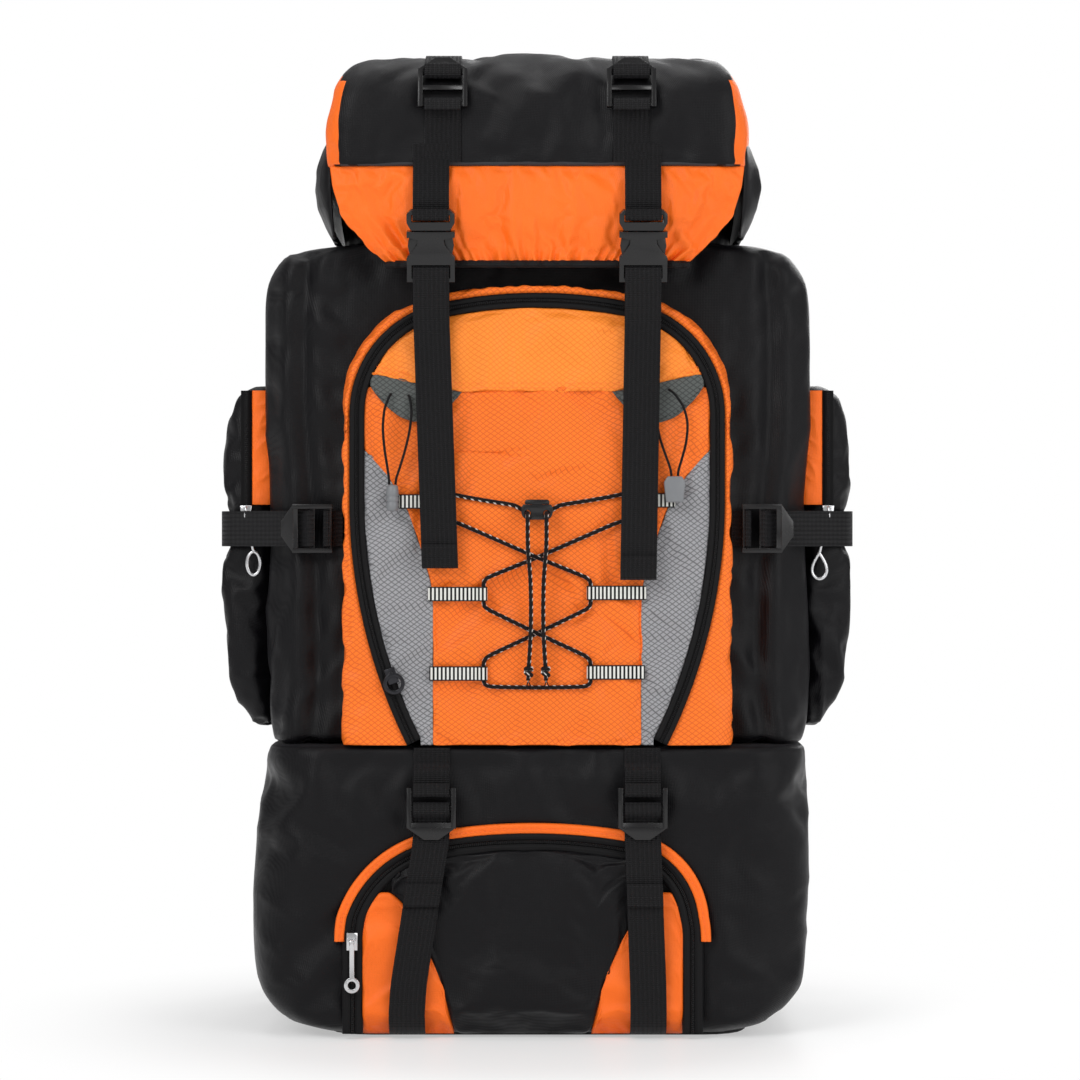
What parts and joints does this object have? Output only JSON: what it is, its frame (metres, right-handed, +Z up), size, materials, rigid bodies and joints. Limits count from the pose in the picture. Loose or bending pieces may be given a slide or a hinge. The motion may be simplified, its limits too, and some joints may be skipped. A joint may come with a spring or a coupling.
{
  "type": "hiking backpack",
  "caption": "Top-loading hiking backpack with floating lid, laced front pocket, side pockets, zipped lower compartment and padded harness.",
  "frame": {"origin": "centre of the flat base panel that the pack stands on", "axes": "+Z up; -Y is the pack's front with the laced pocket, +Y the wearer's side with the harness; +X to the right seen from the front"},
  "size_m": [0.45, 0.3528, 0.6842],
  "materials": {
    "black_fabric": "woven nylon with a soft sheen",
    "orange_ripstop": "ripstop nylon",
    "orange_trim": "coated nylon",
    "grey_ripstop": "ripstop nylon",
    "webbing": "woven webbing",
    "padding": "foam under mesh cloth",
    "cord": "braided cord with flecks",
    "zip": "zip tape and coil",
    "loop_tape": "tape with reflective bars",
    "buckle": "moulded acetal",
    "grey_plastic": "moulded",
    "frame_sheet": "sheet",
    "stay": "mill finish",
    "slider": "silver paint",
    "dark_slider": "dark paint"
  },
  "bodies": {
    "root": {"base_panel": "black_fabric", "base_bag": "black_fabric", "main_bag": "black_fabric", "collar": "black_fabric", "collar_cord": "cord", "collar_lock": "buckle", "frame_sheet": "frame_sheet", "frame_stays": "stay", "back_pads": "padding", "pocket_gusset": "orange_trim", "pocket_panel": "orange_ripstop", "pocket_flap": "orange_trim", "pocket_grey_panels": "grey_ripstop", "pocket_zip": "zip", "base_door": "black_fabric", "base_door_wings": "orange_ripstop", "base_zip": "zip", "base_piping": "orange_trim", "left_side_pocket": "black_fabric", "right_side_pocket": "black_fabric", "side_pocket_strips": "orange_trim", "side_zips": "zip", "side_straps": "webbing", "ladder_locks": "buckle", "lower_straps": "webbing", "lid_sockets": "buckle", "socket_straps": "webbing", "lacing_loops": "loop_tape", "lacing_cord": "cord", "lace_tails": "cord", "tool_cords": "cord", "tool_cord_ends": "grey_plastic"},
    "lid": {"lid_bag": "black_fabric", "lid_front_skirt": "orange_trim", "lid_side_skirts": "black_fabric", "lid_webbing": "webbing", "lid_locks": "buckle", "lid_latches": "buckle"},
    "left_outer_arm": {"left_outer_arm": "buckle"},
    "left_inner_arm": {"left_inner_arm": "buckle"},
    "right_outer_arm": {"right_outer_arm": "buckle"},
    "right_inner_arm": {"right_inner_arm": "buckle"},
    "cord_lock": {"cord_lock": "buckle"},
    "cord_lock_button": {"cord_lock_button": "buckle"},
    "left_side_slider": {"left_side_slider": "slider"},
    "right_side_slider": {"right_side_slider": "slider"},
    "base_slider": {"base_slider": "slider"},
    "base_pull": {"base_pull": "slider"},
    "pocket_slider": {"pocket_slider": "dark_slider"},
    "haul_loop": {"haul_loop": "webbing"},
    "left_shoulder": {"left_shoulder_strap": "padding", "left_shoulder_webbing": "webbing", "sternum_socket_strap": "buckle"},
    "right_shoulder": {"right_shoulder_strap": "padding", "right_shoulder_webbing": "webbing", "sternum_latch_strap": "buckle"},
    "left_hip": {"left_hip_wing": "padding", "hip_socket_strap": "buckle"},
    "right_hip": {"right_hip_wing": "padding", "hip_latch_strap": "buckle"}
  },
  "joints": [
    {"name": "lid_hinge", "type": "hinge", "parent": "root", "child": "lid", "pos_m": [0, 0.1215, 0.6023], "axis": [-1, 0, 0], "range_deg": [0, 100], "deforming": ["left_outer_arm", "left_inner_arm", "right_outer_arm", "right_inner_arm"]},
    {"name": "left_outer_arm_squeeze", "type": "hinge", "parent": "lid", "child": "left_outer_arm", "pos_m": [-0.082, -0.14479, 0.56498], "axis": [0, -0.9803, -0.1975], "range_deg": [0, 6], "stiffness_Nm_per_rad": 0.02},
    {"name": "left_inner_arm_squeeze", "type": "hinge", "parent": "lid", "child": "left_inner_arm", "pos_m": [-0.064, -0.14479, 0.56498], "axis": [0, 0.9803, 0.1975], "range_deg": [0, 6], "stiffness_Nm_per_rad": 0.02},
    {"name": "right_outer_arm_squeeze", "type": "hinge", "parent": "lid", "child": "right_outer_arm", "pos_m": [0.082, -0.14479, 0.56498], "axis": [0, 0.9803, 0.1975], "range_deg": [0, 6], "stiffness_Nm_per_rad": 0.02},
    {"name": "right_inner_arm_squeeze", "type": "hinge", "parent": "lid", "child": "right_inner_arm", "pos_m": [0.064, -0.14479, 0.56498], "axis": [0, -0.9803, -0.1975], "range_deg": [0, 6], "stiffness_Nm_per_rad": 0.02},
    {"name": "cord_lock_slide", "type": "slide", "parent": "root", "child": "cord_lock", "axis": [0, 0, -1], "range_m": [0, 0.06], "deforming": ["lacing_cord", "lace_tails"]},
    {"name": "cord_lock_press", "type": "slide", "parent": "cord_lock", "child": "cord_lock_button", "axis": [0, 0, -1], "range_m": [0, 0.0025], "stiffness_N_per_m": 300},
    {"name": "left_side_zip", "type": "slide", "parent": "root", "child": "left_side_slider", "axis": [0, 0, 1], "range_m": [0, 0.068]},
    {"name": "right_side_zip", "type": "slide", "parent": "root", "child": "right_side_slider", "axis": [0, 0, 1], "range_m": [0, 0.068]},
    {"name": "base_zip_slide", "type": "slide", "parent": "root", "child": "base_slider", "axis": [0, 0, -1], "range_m": [0, 0.032]},
    {"name": "base_pull_swing", "type": "hinge", "parent": "base_slider", "child": "base_pull", "pos_m": [-0.11801, -0.1283, 0.06822], "axis": [-1, 0, 0], "range_deg": [0, 120]},
    {"name": "pocket_zip_run", "type": "hinge", "parent": "root", "child": "pocket_slider", "pos_m": [0.25425, -0.1228, 0.3736], "axis": [0, 1, 0], "range_deg": [-5, 17]},
    {"name": "haul_loop_flip", "type": "hinge", "parent": "root", "child": "haul_loop", "pos_m": [0, 0.1218, 0.537], "axis": [-1, 0, 0], "range_deg": [0, 90]},
    {"name": "left_shoulder_swing", "type": "hinge", "parent": "root", "child": "left_shoulder", "pos_m": [-0.045, 0.123, 0.52], "axis": [-0.2179, 0, -0.976], "range_deg": [-20, 20]},
    {"name": "right_shoulder_swing", "type": "hinge", "parent": "root", "child": "right_shoulder", "pos_m": [0.045, 0.123, 0.52], "axis": [0.2179, 0, -0.976], "range_deg": [-20, 20]},
    {"name": "left_hip_swing", "type": "hinge", "parent": "root", "child": "left_hip", "pos_m": [-0.094, 0.1411, 0.126], "axis": [0, 0, -1], "range_deg": [0, 60]},
    {"name": "right_hip_swing", "type": "hinge", "parent": "root", "child": "right_hip", "pos_m": [0.094, 0.1411, 0.126], "axis": [0, 0, 1], "range_deg": [0, 60]}
  ],
  "couplings": [
    {"joint": "left_inner_arm_squeeze", "follows": "left_outer_arm_squeeze", "ratio": 1},
    {"joint": "right_inner_arm_squeeze", "follows": "right_outer_arm_squeeze", "ratio": 1}
  ]
}
